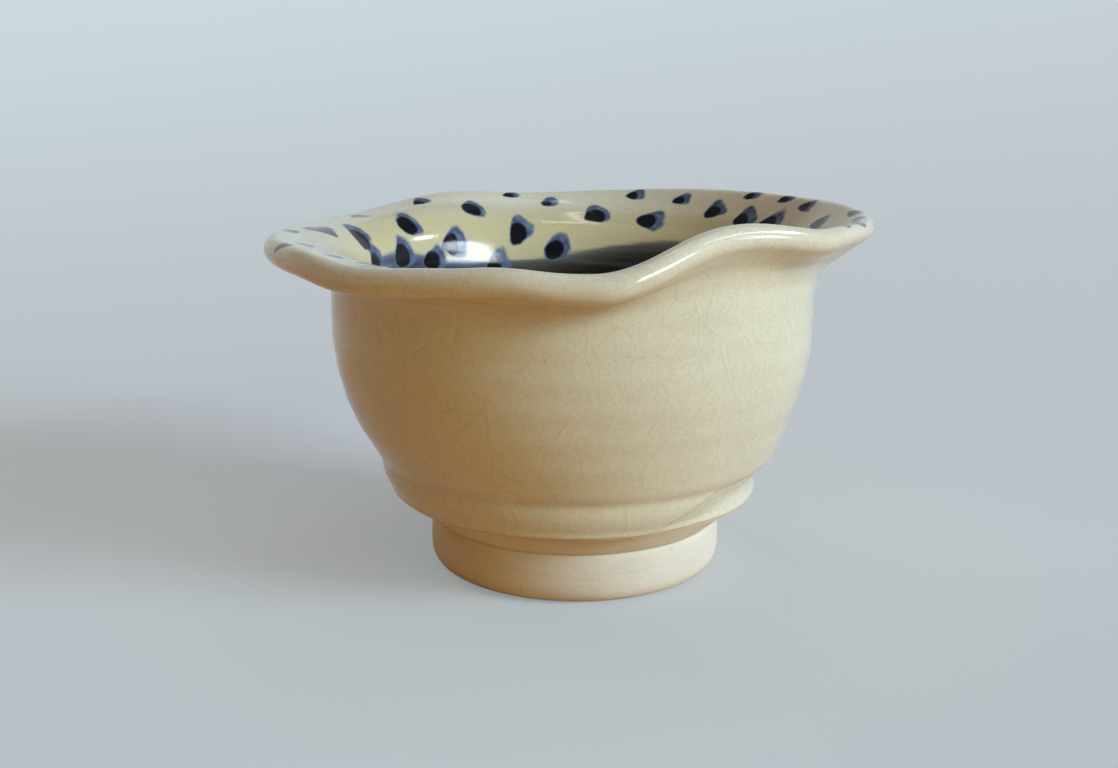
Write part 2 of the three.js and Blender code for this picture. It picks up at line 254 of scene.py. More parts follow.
def shaped(radius, height, angle):
    """Points of the pot from a profile's radius and height, with the lip bent outwards and folded."""
    radius = radius + by_hand(radius, height, angle)
    bend = BEND_HEIGHT + folded(angle, "rise")
    flare = np.radians(FLARE + folded(angle, "flare"))
    bend_length = BEND_LENGTH + folded(angle, "soften")
    bend_radius = bend_length / flare
    run = np.maximum(height - bend, 0)
    curled = np.minimum(run, bend_length)
    tilt = curled / bend_radius
    out = bend_radius * (1 - np.cos(tilt)) + (run - curled) * np.sin(tilt)
    up = bend_radius * np.sin(tilt) + (run - curled) * np.cos(tilt)
    thinned = 1 - folded(angle, "thin") * smoothstep(height, bend, UPRIGHT_HEIGHT)
    beside = (radius - WALL_RADIUS) * thinned
    reach = WALL_RADIUS + out + beside * np.cos(tilt)
    level = np.minimum(height, bend) + up - beside * np.sin(tilt)
    lean = LEAN * smoothstep(height, RIDGE_HEIGHT, RIDGE_HEIGHT + LEAN_RISE)
    return np.stack([reach * np.cos(angle) + lean + AXIS[0], reach * np.sin(angle) + AXIS[1], level], -1)


def turned(name, profile, sharp, marked, cut_rows=0):
    """A mesh of the profile swept round the axis. A profile that ends on the axis gets one point there.
    sharp lists the rows that keep a crisp edge, marked gives each row's values by attribute name, and the
    first cut_rows rows take the tool's second cut."""
    closed = np.allclose(profile[0], profile[-1])
    rows = profile[:-1] if closed else profile
    poles = [] if closed else [row for row in (0, len(rows) - 1) if rows[row][0] < 1e-6]
    radius, angle = np.meshgrid(rows[:, 0], ANGLES, indexing="ij")
    height = np.repeat(rows[:, 1][:, None], COLUMNS, 1)
    radius[:cut_rows] -= second_cut(height, angle)[:cut_rows]
    grid = shaped(radius, height, angle) * MM
    first = 1 if 0 in poles else 0
    last = len(rows) - 1 if len(rows) - 1 in poles else len(rows)
    vertices = grid[first:last].reshape(-1, 3).tolist()
    faces = swept_faces(last - first, closed)
    for pole in poles:
        vertices.append(grid[pole].mean(0).tolist())
        faces += cap_faces(len(vertices) - 1, 0 if pole == 0 else last - first - 1, pole == 0)
    mesh = bpy.data.meshes.new(name)
    mesh.from_pydata(vertices, [], faces)
    mesh.update()
    mesh.shade_smooth()
    keep_sharp(mesh, np.array(sharp) - first)
    for key, values in marked.items():
        by_row = values if np.ndim(values) == 2 else values[:, None]
        spread = np.broadcast_to(by_row, radius.shape)
        flat = spread[first:last].reshape(-1).tolist() + [float(spread[pole].mean()) for pole in poles]
        mesh.attributes.new(key, "FLOAT", "POINT").data.foreach_set("value", np.array(flat, np.float32))
    piece = bpy.data.objects.new(name, mesh)
    bpy.context.scene.collection.objects.link(piece)
    return piece


def swept_faces(rows, closed):
    """Four-sided faces between each row of points and the next, and back to the first in a closed loop."""
    following = np.roll(np.arange(COLUMNS), -1).tolist()
    pairs = [(row, row + 1) for row in range(rows - 1)]
    if closed:
        pairs.append((rows - 1, 0))
    faces = []
    for row, next_row in pairs:
        near, far = row * COLUMNS, next_row * COLUMNS
        faces += [(near + i, near + j, far + j, far + i) for i, j in enumerate(following)]
    return faces


def cap_faces(middle, row, reverse):
    """Triangles from a row of points to the point on the axis."""
    ring = row * COLUMNS
    following = np.roll(np.arange(COLUMNS), -1).tolist()
    if reverse:
        return [(middle, ring + j, ring + i) for i, j in enumerate(following)]
    return [(middle, ring + i, ring + j) for i, j in enumerate(following)]


def keep_sharp(mesh, rows):
    """Mark the edges that run along these rows of points as crisp."""
    ends = np.zeros(len(mesh.edges) * 2, int)
    mesh.edges.foreach_get("vertices", ends)
    row = ends.reshape(-1, 2) // COLUMNS
    crisp = (row[:, 0] == row[:, 1]) & np.isin(row[:, 0], rows)
    mesh.attributes.new("sharp_edge", "BOOLEAN", "EDGE").data.foreach_set("value", crisp)


# Materials

def colour(red, green, blue):
    """An sRGB colour of 0 to 255 as Blender's linear one."""
    linear = [
        level / 255 / 12.92 if level <= 10 else ((level / 255 + 0.055) / 1.055) ** 2.4
        for level in (red, green, blue)
    ]
    return (*linear, 1.0)


class Nodes:
    """Short names for the shader nodes of one material."""

    def __init__(self, name):
        self.material = bpy.data.materials.new(name)
        self.material.use_nodes = True
        self.tree = self.material.node_tree
        self.shader = self.tree.nodes["Principled BSDF"]

    def put(self, socket, value):
        """Link another node's output to the socket, or set its value."""
        if isinstance(value, bpy.types.NodeSocket):
            self.tree.links.new(value, socket)
        else:
            socket.default_value = value

    def add(self, kind, **inputs):
        """A new node with its inputs given by name."""
        node = self.tree.nodes.new("ShaderNode" + kind)
        for key, value in inputs.items():
            self.put(node.inputs[key], value)
        return node

    def math(self, operation, first, second=0.0):
        node = self.tree.nodes.new("ShaderNodeMath")
        node.operation = operation
        self.put(node.inputs[0], first)
        self.put(node.inputs[1], second)
        return node.outputs[0]

    def total(self, first, *others):
        for other in others:
            first = self.math("ADD", first, other)
        return first

    def times(self, first, second):
        return self.math("MULTIPLY", first, second)

    def vector(self, operation, first, second=None, scale=None):
        """Vector arithmetic with a second vector or with a scale."""
        node = self.tree.nodes.new("ShaderNodeVectorMath")
        node.operation = operation
        self.put(node.inputs[0], first)
        if second is not None:
            self.put(node.inputs[1], second)
        if scale is not None:
            self.put(node.inputs["Scale"], scale)
        return node.outputs[0]

    def ramp(self, value, low, high, to_low=0.0, to_high=1.0):
        """Smooth step from to_low at low to to_high at high, where low may be the larger."""
        node = self.tree.nodes.new("ShaderNodeMapRange")
        node.interpolation_type = "SMOOTHSTEP"
        self.put(node.inputs["Value"], value)
        self.put(node.inputs["From Min"], low)
        self.put(node.inputs["From Max"], high)
        self.put(node.inputs["To Min"], to_low)
        self.put(node.inputs["To Max"], to_high)
        return node.outputs["Result"]

    def mix(self, share, first, second):
        node = self.tree.nodes.new("ShaderNodeMix")
        node.data_type = "RGBA"
        self.put(node.inputs[0], share)
        self.put(node.inputs[6], first)
        self.put(node.inputs[7], second)
        return node.outputs[2]

    def noise(self, place, size, detail=2.0, roughness=0.5):
        """Noise from 0 to 1 whose lumps are about size across."""
        node = self.add("TexNoise", Vector=place, Scale=1 / size, Detail=detail, Roughness=roughness)
        return node.outputs["Fac"]

    def around(self, noise, strength):
        """A noise turned into a swing of about +- strength."""
        return self.times(self.math("SUBTRACT", noise, 0.5), 2 * strength)

    def cells(self, place, size, feature="F1"):
        node = self.add("TexVoronoi", Vector=place, Scale=1 / size)
        node.feature = feature
        return node

    def place(self):
        """The surface point in millimetres."""
        return self.vector("SCALE", self.add("TexCoord").outputs["Object"], scale=1 / MM)

    def attribute(self, name):
        node = self.add("Attribute")
        node.attribute_name = name
        return node.outputs["Fac"]

    def specks(self, place, size, share, radius):
        """Small round dots in a share of cells of that size, as a mask."""
        cell = self.cells(place, size)
        random = self.add("SeparateColor", Color=cell.outputs["Color"])
        dot = self.times(self.math("ADD", random.outputs["Green"], 0.45), radius / size)
        inside = self.ramp(self.math("DIVIDE", cell.outputs["Distance"], dot), 1.0, 0.55)
        return self.times(inside, self.math("LESS_THAN", random.outputs["Red"], share))

    def bump(self, height, distance):
        """Height from 0 to 1 over a distance in millimetres."""
        return self.add("Bump", Height=height, Distance=distance * MM, Strength=1.0).outputs["Normal"]


# Colours of the glaze over buff clay, of its crackle and of its iron specks
GLAZE_PALE, GLAZE_GREEN = colour(211, 214, 192), colour(206, 207, 184)
GLAZE_MILKY, GLAZE_GRAIN, GLAZE_GLINT = colour(222, 221, 202), colour(172, 167, 132), colour(230, 230, 213)
CRACK_SHADE, CRACK_LIGHT = colour(150, 142, 110), colour(238, 236, 220)
GLAZE_THIN = colour(200, 172, 136)
SPECK_TINY, SPECK_SPARSE = colour(124, 112, 70), colour(84, 68, 42)
RIDGE_SOFT, RIDGE_CRISP, CUT_LINE = colour(190, 172, 132), colour(186, 146, 116), colour(190, 152, 122)

# Colours of the brushwork, and of the inside wall, darker and more golden from painted shade and a deeper
# glaze
GLAZE_DEEP_AND_SHADED = colour(184, 171, 113)
RING_FAINT, RING_FAINT_LEFT = colour(108, 110, 102), colour(98, 110, 132)
RING_FULL, RING_FULL_LEFT = colour(40, 41, 40), colour(46, 54, 76)
DAB_PALE, DAB_BLUE, DAB_BLACK = colour(90, 107, 134), colour(46, 58, 84), colour(9, 9, 16)

# Colours of the bare clay
CLAY_PALE, CLAY_GREY, CLAY_DRY = colour(215, 215, 203), colour(208, 207, 193), colour(224, 225, 215)
CLAY_SAND, CLAY_LINES = colour(184, 170, 136), colour(196, 178, 144)
# The first colour here is painted light: a paler, cooler clay lifting the shade on the neck under the bevel.
CLAY_NECK_PAINTED_LIGHT, CLAY_CREASE = colour(222, 226, 214), colour(176, 146, 114)
CLAY_SPECK_TINY, CLAY_SPECK_SPARSE = colour(128, 104, 72), colour(96, 72, 46)

# Sizes in millimetres, and how the glaze and the clay shine
CRACK_SIZE, SMALL_CRACK_SIZE = 2.9, 1.6
CRACK_WIDTH, SMALL_CRACK_WIDTH = 0.07, 0.08
CRACK_SHADE_OFFSET = (0.13, 0.13, 0.07)
CRACK_STRETCH = (1, 1, 0.62)
GLAZE_RELIEF, CLAY_RELIEF = 0.035, 0.06
GLAZE_IOR, GLAZE_GLOSS, CLAY_IOR = 1.5, 0.36, 1.45


def glaze_base(nodes, place):
    """The clear glaze over buff clay: colour, relief and roughness."""
    broad = nodes.noise(place, 11, 3)
    fine = nodes.noise(place, 0.9, 4, 0.6)
    grain = nodes.noise(place, 0.3, 3, 0.75)
    tone = nodes.mix(nodes.ramp(broad, 0.3, 0.7), GLAZE_PALE, GLAZE_GREEN)
    tone = nodes.mix(nodes.ramp(fine, 0.35, 0.75, 0, 0.3), tone, GLAZE_MILKY)
    tone = nodes.mix(nodes.ramp(grain, 0.5, 0.72, 0, 0.34), tone, GLAZE_GRAIN)
    tone = nodes.mix(nodes.ramp(grain, 0.5, 0.3, 0, 0.3), tone, GLAZE_GLINT)

    warp = nodes.add("TexNoise", Vector=place, Scale=0.5, Detail=2.0).outputs["Color"]
    swing = nodes.vector("SCALE", nodes.vector("SUBTRACT", warp, (0.5, 0.5, 0.5)), scale=0.9)
    bent = nodes.vector("MULTIPLY", nodes.vector("ADD", place, swing), CRACK_STRETCH)
    # Painted shade: a darker copy of the crackle, shifted a little, lies beside each pale crack.
    beside = nodes.vector("ADD", bent, CRACK_SHADE_OFFSET)
    here = nodes.ramp(nodes.noise(place, 5, 2), 0.36, 0.6)
    strong = nodes.ramp(nodes.noise(place, 4.5, 2), 0.32, 0.62, 0.3, 1.0)

    def cracks(spot):
        cell = nodes.cells(spot, CRACK_SIZE, "DISTANCE_TO_EDGE")
        small_cell = nodes.cells(spot, SMALL_CRACK_SIZE, "DISTANCE_TO_EDGE")
        large = nodes.ramp(cell.outputs["Distance"], CRACK_WIDTH, 0.0)
        small = nodes.ramp(small_cell.outputs["Distance"], SMALL_CRACK_WIDTH, 0.0)
        both = nodes.total(large, nodes.times(nodes.times(small, here), 0.5))
        return nodes.times(both, strong)

    crackle = cracks(bent)
    tone = nodes.mix(nodes.times(cracks(beside), 0.14), tone, CRACK_SHADE)
    tone = nodes.mix(nodes.times(crackle, 0.17), tone, CRACK_LIGHT)

    thin = nodes.attribute("thin")
    patchy = nodes.times(thin, nodes.ramp(nodes.noise(place, 3.5, 3), 0.25, 0.7, 0.45, 1.0))
    tone = nodes.mix(nodes.times(patchy, 0.6), tone, GLAZE_THIN)

    tiny = nodes.specks(place, 0.7, 0.2, 0.085)
    sparse = nodes.specks(place, 3.2, 0.3, 0.11)
    tone = nodes.mix(nodes.times(tiny, 0.42), tone, SPECK_TINY)
    tone = nodes.mix(nodes.times(sparse, 0.8), tone, SPECK_SPARSE)

    peel = nodes.noise(place, 2.2, 2)
    height = nodes.total(
        nodes.times(peel, 0.5),
        nodes.times(fine, 0.12),
        nodes.times(crackle, -0.05),
        nodes.times(grain, 0.1),
    )
    rough = nodes.total(
        nodes.ramp(broad, 0.3, 0.7, 0.08, 0.14),
        nodes.times(crackle, 0.1),
        nodes.ramp(grain, 0.5, 0.8, 0, 0.04),
    )
    return tone, height, rough


def outer_glaze_material():
    """The glaze outside, worn thin and tan along the ridge and the crisp edge of the second cut."""
    nodes = Nodes("crackled clear glaze")
    place = nodes.place()
    tone, height, rough = glaze_base(nodes, place)
    ridge = nodes.math("ABSOLUTE", nodes.attribute("ridge"))
    right = nodes.attribute("right")
    broken = nodes.ramp(nodes.noise(place, 1.1, 3), 0.3, 0.6, 0.45, 1.0)
    uneven = nodes.ramp(nodes.noise(place, 3, 3), 0.25, 0.7, 0.12, 0.34)
    soft = nodes.times(nodes.ramp(ridge, 0.95, 0.0), uneven)
    crisp = nodes.times(nodes.times(nodes.ramp(ridge, 0.26, 0.03), right), broken)
    line = nodes.times(nodes.ramp(nodes.math("ABSOLUTE", nodes.attribute("cut")), 0.2, 0.02), broken)
    tone = nodes.mix(soft, tone, RIDGE_SOFT)
    tone = nodes.mix(nodes.times(crisp, 0.7), tone, RIDGE_CRISP)
    tone = nodes.mix(nodes.times(line, 0.6), tone, CUT_LINE)
    nodes.put(nodes.shader.inputs["Base Color"], tone)
    nodes.put(nodes.shader.inputs["Roughness"], rough)
    nodes.put(nodes.shader.inputs["Normal"], nodes.bump(height, GLAZE_RELIEF))
    nodes.shader.inputs["IOR"].default_value = GLAZE_IOR
    nodes.shader.inputs["Specular IOR Level"].default_value = GLAZE_GLOSS
    return nodes.material


def painted_glaze_material():
    """The glaze inside: darker and more golden on the wall from painted shade and a deeper glaze, over the
    brushed ring and the dabs with their dark cores.
    """
    nodes = Nodes("glaze over cobalt brushwork")
    place = nodes.place()
    tone, height, rough = glaze_base(nodes, place)
    wander = nodes.around(nodes.noise(place, 1.5, 2), 0.36)
    wander = nodes.total(wander, nodes.around(nodes.noise(place, 0.35, 2), 0.05))
    # Painted shade: the inside wall is darkened and turned golden, partly as a deeper glaze.
    tone = nodes.mix(nodes.times(nodes.attribute("deep_glaze_and_shade"), 0.62), tone, GLAZE_DEEP_AND_SHADED)

    edge = nodes.total(nodes.attribute("dab"), wander)
    wash = nodes.ramp(edge, 0.31, -0.31)
    rim = nodes.times(nodes.ramp(edge, -0.6, -0.15), wash)
    pool = nodes.ramp(nodes.total(nodes.attribute("core"), nodes.times(wander, 0.6)), 0.45, -0.42)
    blot = nodes.ramp(nodes.noise(place, 0.8, 3), 0.3, 0.75, 0.34, 0.6)
    light = nodes.times(wash, nodes.total(blot, nodes.times(rim, 0.06)))
    dab = nodes.math("MAXIMUM", light, nodes.times(pool, wash))

    streaks = nodes.noise(nodes.vector("MULTIPLY", place, (0.14, 0.14, 1.6)), 1.0, 3, 0.55)
    ring = nodes.attribute("ring")
    cover = nodes.ramp(nodes.total(ring, nodes.around(streaks, 0.35)), 0.3, -0.6)
    depth = nodes.ramp(nodes.total(ring, nodes.around(streaks, 1.0)), 0.2, -2.6, 0.6, 0.95)
    band = nodes.times(cover, depth)
    left = nodes.ramp(nodes.add("SeparateXYZ", Vector=place).outputs["X"], -4.0, -14.0)
    faint = nodes.mix(left, RING_FAINT, RING_FAINT_LEFT)
    full = nodes.mix(left, RING_FULL, RING_FULL_LEFT)
    tone = nodes.mix(nodes.ramp(band, 0.0, 0.5), tone, faint)
    tone = nodes.mix(nodes.ramp(band, 0.4, 0.95), tone, full)

    tone = nodes.mix(nodes.ramp(dab, 0.0, 0.46), tone, DAB_PALE)
    tone = nodes.mix(nodes.ramp(dab, 0.34, 0.76), tone, DAB_BLUE)
    tone = nodes.mix(nodes.ramp(dab, 0.62, 0.92), tone, DAB_BLACK)
    nodes.put(nodes.shader.inputs["Base Color"], tone)
    nodes.put(nodes.shader.inputs["Roughness"], rough)
    raised = nodes.total(height, nodes.times(dab, 0.1))
    nodes.put(nodes.shader.inputs["Normal"], nodes.bump(raised, GLAZE_RELIEF))
    nodes.shader.inputs["IOR"].default_value = GLAZE_IOR
    nodes.shader.inputs["Specular IOR Level"].default_value = GLAZE_GLOSS
    return nodes.material


def clay_material():
    """Bare fired clay with sand, turning lines, pits and specks, a darker line in the crease, and painted
    light that lifts the shade on the neck.
    """
    nodes = Nodes("bare turned stoneware")
    place = nodes.place()
    broad = nodes.noise(place, 8, 3)
    fine = nodes.noise(place, 0.5, 4, 0.7)
    sand = nodes.noise(place, 0.16, 2, 0.8)
    tone = nodes.mix(nodes.ramp(broad, 0.3, 0.7), CLAY_PALE, CLAY_GREY)
    tone = nodes.mix(nodes.ramp(fine, 0.3, 0.8, 0, 0.5), tone, CLAY_DRY)
    tone = nodes.mix(nodes.ramp(sand, 0.6, 0.8, 0, 0.35), tone, CLAY_SAND)
    around = nodes.vector("MULTIPLY", place, (0.05, 0.05, 1.0))
    lines = nodes.noise(around, 0.3, 3, 0.6)
    tone = nodes.mix(nodes.ramp(lines, 0.5, 0.72, 0, 0.22), tone, CLAY_LINES)
    # Painted light: the neck and the foot's top, shaded under the bevel, are lifted to a paler clay.
    neck_painted_light = nodes.attribute("neck_painted_light")
    patchy = nodes.times(neck_painted_light, nodes.ramp(nodes.noise(place, 3, 3), 0.25, 0.7, 0.55, 1.0))
    tone = nodes.mix(nodes.times(patchy, 0.85), tone, CLAY_NECK_PAINTED_LIGHT)
    tone = nodes.mix(nodes.times(nodes.attribute("crease"), 0.5), tone, CLAY_CREASE)
    tiny = nodes.specks(place, 0.8, 0.12, 0.09)
    sparse = nodes.specks(place, 3.4, 0.25, 0.18)
    tone = nodes.mix(nodes.times(tiny, 0.5), tone, CLAY_SPECK_TINY)
    tone = nodes.mix(nodes.times(sparse, 0.7), tone, CLAY_SPECK_SPARSE)
    pits = nodes.specks(place, 2.1, 0.25, 0.24)
    height = nodes.total(
        nodes.times(fine, 0.3),
        nodes.times(sand, 0.4),
        nodes.times(lines, nodes.total(nodes.times(neck_painted_light, 0.5), 0.4)),
        nodes.times(pits, -0.7),
    )
    nodes.put(nodes.shader.inputs["Base Color"], tone)
    nodes.put(nodes.shader.inputs["Roughness"], nodes.ramp(fine, 0.2, 0.8, 0.78, 0.95))
    nodes.put(nodes.shader.inputs["Normal"], nodes.bump(height, CLAY_RELIEF))
    nodes.shader.inputs["IOR"].default_value = CLAY_IOR
    return nodes.material


# Brushwork, as distances in millimetres from the edge of the paint, below zero inside it

def brushed(depth):
    """Distances to the edge of the nearest dab and of its dark core, over the inside of the lip."""
    chance = np.random.default_rng(7)
    dab = np.full((len(depth), COLUMNS), FAR)
    core = dab.copy()
    for place, dab_depth in DABS:
        # Each point's place beside the dab's middle, round the rim and towards its edge, then tilted
        angle = math.radians(place)
        on_profile = (WALL_RADIUS - HALF_LIP, UPRIGHT_HEIGHT - dab_depth, angle)
        middle = shaped(*(np.array([value]) for value in on_profile))[0]
        distance = math.hypot(middle[0] - AXIS[0] - LEAN, middle[1] - AXIS[1])
        clockwise = ((angle - ANGLES + math.pi) % (2 * math.pi) - math.pi) * distance
        rimward = dab_depth - depth
        tilt = math.radians(DAB_TILT + chance.uniform(-22, 22))
        across = np.cos(tilt) * clockwise[None, :] + np.sin(tilt) * rimward[:, None]
        along = np.cos(tilt) * rimward[:, None] - np.sin(tilt) * clockwise[None, :]
        # Its size, which is less near the lip's edge
        half = np.array([DAB_HALF_WIDTH, DAB_HALF_LENGTH]) * chance.uniform(0.95, 1.15)
        half = half * chance.uniform(0.93, 1.07, 2)
        clear_of_lip = smoothstep(dab_depth, 1.3, 4.4)
        half = half * (mixed(0.76, 1.05, clear_of_lip), mixed(0.6, 1.08, clear_of_lip))
        half[1] *= mixed(1.0, 0.8, smoothstep(dab_depth, 4, 7.5))
        # Its outline, between round and square and narrower towards one end
        power = chance.uniform(1.8, 3.2)
        taper = 1 + chance.uniform(0.35, 0.6) * np.clip(across / half[0], -1.2, 1)
        reach = (np.abs(across / half[0]) ** power + np.abs(along / taper / half[1]) ** power) ** (1 / power)
        dab = np.minimum(dab, (reach - 1) * half.mean())
        # The core, where the paint pooled to one side
        pool = half * chance.uniform(0.76, 0.95, 2)
        across = across + half[0] - pool[0] + chance.uniform(0.25, 0.5)
        along = along + (half[1] - pool[1]) * chance.uniform(0.2, 0.8)
        taper = 1 + 0.25 * np.clip(across / pool[0], -1.2, 1)
        reach = np.hypot(across / pool[0], along / taper / pool[1])
        core = np.minimum(core, (reach - 1) * pool.mean())
    return np.clip(dab, -FAR, FAR), np.clip(core, -FAR, FAR)


def ring_distance(height):
    """Distance outside the brushed ring, whose upper edge wavers as a loaded brush runs round the pot."""
    top = BAND_TOP + 0.2 * np.sin(ANGLES * 2 + 0.4) + 0.1 * np.sin(ANGLES * 5 + 1.1)
    for rise, angle, reach in BAND_RISES:
        top = top + rise * bump_at(DEGREES, angle, reach)
    bottom = BAND_TOP - BAND_WIDTH + 0.35 * np.sin(ANGLES * 3 + 2.0) + 0.2 * np.sin(ANGLES * 7)
    away = np.maximum(height[:, None] - top, bottom - height[:, None])
    return np.clip(away, -FAR_FROM_RING, FAR_FROM_RING)


# Pieces

outer = outer_profile()
inner, inner_depth = inner_profile()
whole = np.concatenate([outer, inner[1:]])
under_glaze = offset(whole, GLAZE_THICKNESS)
under_glaze[-1] = (0, under_glaze[-1][1])
outer_back = under_glaze[: len(outer)]
inner_back = under_glaze[len(outer) - 1:]


def outer_glaze_coat():
    """A closed shell, up the outside to the crest, down its own back and over a small bead at the edge."""
    (out, up), (back_out, back_up) = outer[0], outer_back[0]
    bead = bezier(6, outer_back[0], (back_out + 0.02, back_up - 0.3), (out + 0.07, up - 0.32), outer[0])
    loop = np.concatenate([outer, outer_back[::-1], bead[1:]])
    thin_edge = 0.8 * bump_at(outer[:, 1], GLAZE_EDGE_HEIGHT - 0.1, 0.5)
    thin_crest = 0.12 * bump_at(outer[:, 1], outer[:, 1].max(), 0.9)
    thin = np.concatenate([thin_edge + thin_crest, np.zeros(len(outer)), np.ones(len(bead) - 1)])
    height = loop[:-1, 1]
    at_right = between(DEGREES, *WORN_RIDGE_RUN)
    cut_run = between(DEGREES, *WORN_CUT_RUN)
    cut_line = above_cut(height[:, None], ANGLES[None, :])
    return turned(
        "outer_glaze_coat",
        loop,
        sharp=(len(outer) - 1, len(outer), 2 * len(outer) - 1),
        marked={
            "thin": thin[:-1],
            "ridge": np.clip(height - RIDGE_HEIGHT + RIDGE_STEP / 2, -FAR, FAR),
            "right": np.broadcast_to(at_right, (len(height), COLUMNS)),
            "cut": np.clip(np.abs(cut_line) + 2 * (1 - cut_run), 0, FAR),
        },
        cut_rows=len(loop),
    )


def inner_glaze_coat():
    """A closed shell like the outer one, with the distances to the paint marked on its face."""
    dab, core = brushed(inner_depth)
    thin = 0.12 * bump_at(inner_depth, -HALF_LIP * math.pi / 2, 0.9)
    # Painted shade with a deeper glaze, darkening the inside wall below the lip and fading towards the well.
    deep_glaze_and_shade = smoothstep(inner_depth, 1.5, 6) * (1 - 0.8 * smoothstep(inner_depth, 17, 22))
    plain = np.zeros(len(inner_back))
    unpainted = np.full((len(inner_back), COLUMNS), FAR)
    return turned(
        "inner_glaze_coat",
        np.concatenate([inner_back[::-1], inner]),
        sharp=(len(inner) - 1, len(inner)),
        marked={
            "thin": np.concatenate([plain, thin]),
            "dab": np.concatenate([unpainted, dab]),
            "core": np.concatenate([unpainted, core]),
            "ring": np.concatenate([unpainted, ring_distance(inner[:, 1])]),
            "deep_glaze_and_shade": np.concatenate([plain, deep_glaze_and_shade]),
        },
    )


def bowl_clay():
    """The bare bowl, from the hump under the foot out to the neck and up behind both coats of glaze."""
    hump_height = FOOT_HEIGHT - HUMP_DEPTH
    hump = bezier(10, (0, hump_height), (0.6 * HUMP_RADIUS, hump_height), (HUMP_RADIUS, FOOT_HEIGHT))
    neck_start = np.array([FOOT_TOP_RADIUS, FOOT_HEIGHT])
    underside = bezier(4, (HUMP_RADIUS, FOOT_HEIGHT), neck_start)
    neck_middle = (neck_start + under_glaze[0]) / 2 + (NECK_BULGE, 0)
    neck = bezier(24, neck_start, neck_middle, under_glaze[0])
    profile = np.concatenate([hump, underside[1:], neck[1:], under_glaze[1:]])
    bevel_rows = 20
    outside = np.arange(len(profile)) < len(hump) + len(underside) + len(neck) + bevel_rows
    # Painted light on the neck and up under the bevel's glaze, where the overhanging wall shades it.
    neck_painted_light = bump_at(profile[:, 1], NECK_PAINTED_LIGHT_HEIGHT, NECK_PAINTED_LIGHT_REACH) * outside
    crease = bump_at(profile[:, 1], FOOT_HEIGHT, 0.16) * (profile[:, 0] > HUMP_RADIUS + 1)
    neck_row = len(hump) + len(underside) - 2
    return turned(
        "bowl_clay",
        profile,
        sharp=(neck_row,),
        marked={"neck_painted_light": neck_painted_light, "crease": crease},
        cut_rows=neck_row + len(neck) + len(outer_back) - 1,
    )


def turned_foot():
    """The foot ring, from its rest up the belly outside, over its top and down the bore."""
    straight, curved = 4, 14  # steps along a straight stretch and a curved one
    rest, top = (FOOT_REST_OUTER, 0), (FOOT_TOP_RADIUS, FOOT_HEIGHT)
    belly = (FOOT_BELLY_RADIUS, FOOT_BELLY_HEIGHT)
    bore_top = (FOOT_BORE_TOP_RADIUS, FOOT_HEIGHT)
    bore_edge = (FOOT_BORE_RADIUS, FOOT_BORE_EDGE)
    profile = np.concatenate([
        bezier(straight, (FOOT_REST_INNER, 0), rest),
        bezier(curved, rest, (FOOT_BELLY_RADIUS, 0.15 * FOOT_BELLY_HEIGHT), belly)[1:],
        bezier(curved, belly, (FOOT_BELLY_RADIUS, 0.8 * FOOT_HEIGHT), top)[1:],
        bezier(straight, top, bore_top)[1:],
        bezier(8, bore_top, bore_edge)[1:],
        bezier(3, bore_edge, (FOOT_REST_INNER, 0))[1:],
    ])
    top_row = straight + 2 * curved
    radius, height = profile[:-1].T
    outside = radius > FOOT_REST_OUTER
    return turned(
        "turned_foot",
        profile,
        sharp=(top_row, top_row + straight),
        marked={
            # Painted light on the foot's top, in the shade under the bevel.
            "neck_painted_light": bump_at(height, FOOT_HEIGHT, 0.35) * 0.8 * outside,
            "crease": bump_at(height, FOOT_HEIGHT, 0.1) * outside,
        },
    )


outer_coat, inner_coat, bowl, foot = outer_glaze_coat(), inner_glaze_coat(), bowl_clay(), turned_foot()
glaze, painted, clay = outer_glaze_material(), painted_glaze_material(), clay_material()
dab_nodes = ["cobalt_dab_%02d" % (i + 1) for i in range(len(DABS))]
for piece, finish, slot, stands_for in (
    (outer_coat, glaze, "clear_glaze", ["outer_glaze"]),
    (inner_coat, painted, "clear_glaze", ["inner_glaze", "well_band", *dab_nodes]),
    (bowl, clay, "bare_clay", ["clay_body"]),
    (foot, clay, "bare_clay", ["foot_ring"]),
):
    piece.data.materials.append(finish)
    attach(piece, "root")
    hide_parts(*stands_for)

# Floor and backdrop

FLOOR_HALF_WIDTH, FLOOR_FRONT, FLOOR_BACK = 2.4, -2.4, 0.15  # in metres
BACKDROP_RADIUS, BACKDROP_TURN = 2.2, 60  # in metres and degrees
FLOOR_BELOW_FOOT = 0.05 * MM
FLOOR_PALE = (0.42, 0.42, 0.43, 1)
FLOOR_GLOW_NEAR = (0.195, 0.245, 0.258, 1)
FLOOR_GLOW_FAR = (0.325, 0.425, 0.458, 1)
FLOOR_BOUNCE = (0.61, 0.295, 0.072, 1)


def floor_material():
    """Pale grey with a glow of its own where it is seen, and a warm colour where it lights the cup."""
    nodes = Nodes("pale floor")
    seen = seen_directly(nodes.tree)
    nodes.put(nodes.shader.inputs["Base Color"], nodes.mix(seen, FLOOR_BOUNCE, FLOOR_PALE))
    spot = nodes.add("SeparateXYZ", Vector=nodes.place())
    away = nodes.ramp(nodes.math("SUBTRACT", spot.outputs["Y"], spot.outputs["X"]), -120.0, 1100.0)
    nodes.put(nodes.shader.inputs["Emission Color"], nodes.mix(away, FLOOR_GLOW_NEAR, FLOOR_GLOW_FAR))
    nodes.put(nodes.shader.inputs["Emission Strength"], seen)
    nodes.shader.inputs["Roughness"].default_value = 0.9
    nodes.shader.inputs["Specular IOR Level"].default_value = 0.2
    return nodes.material


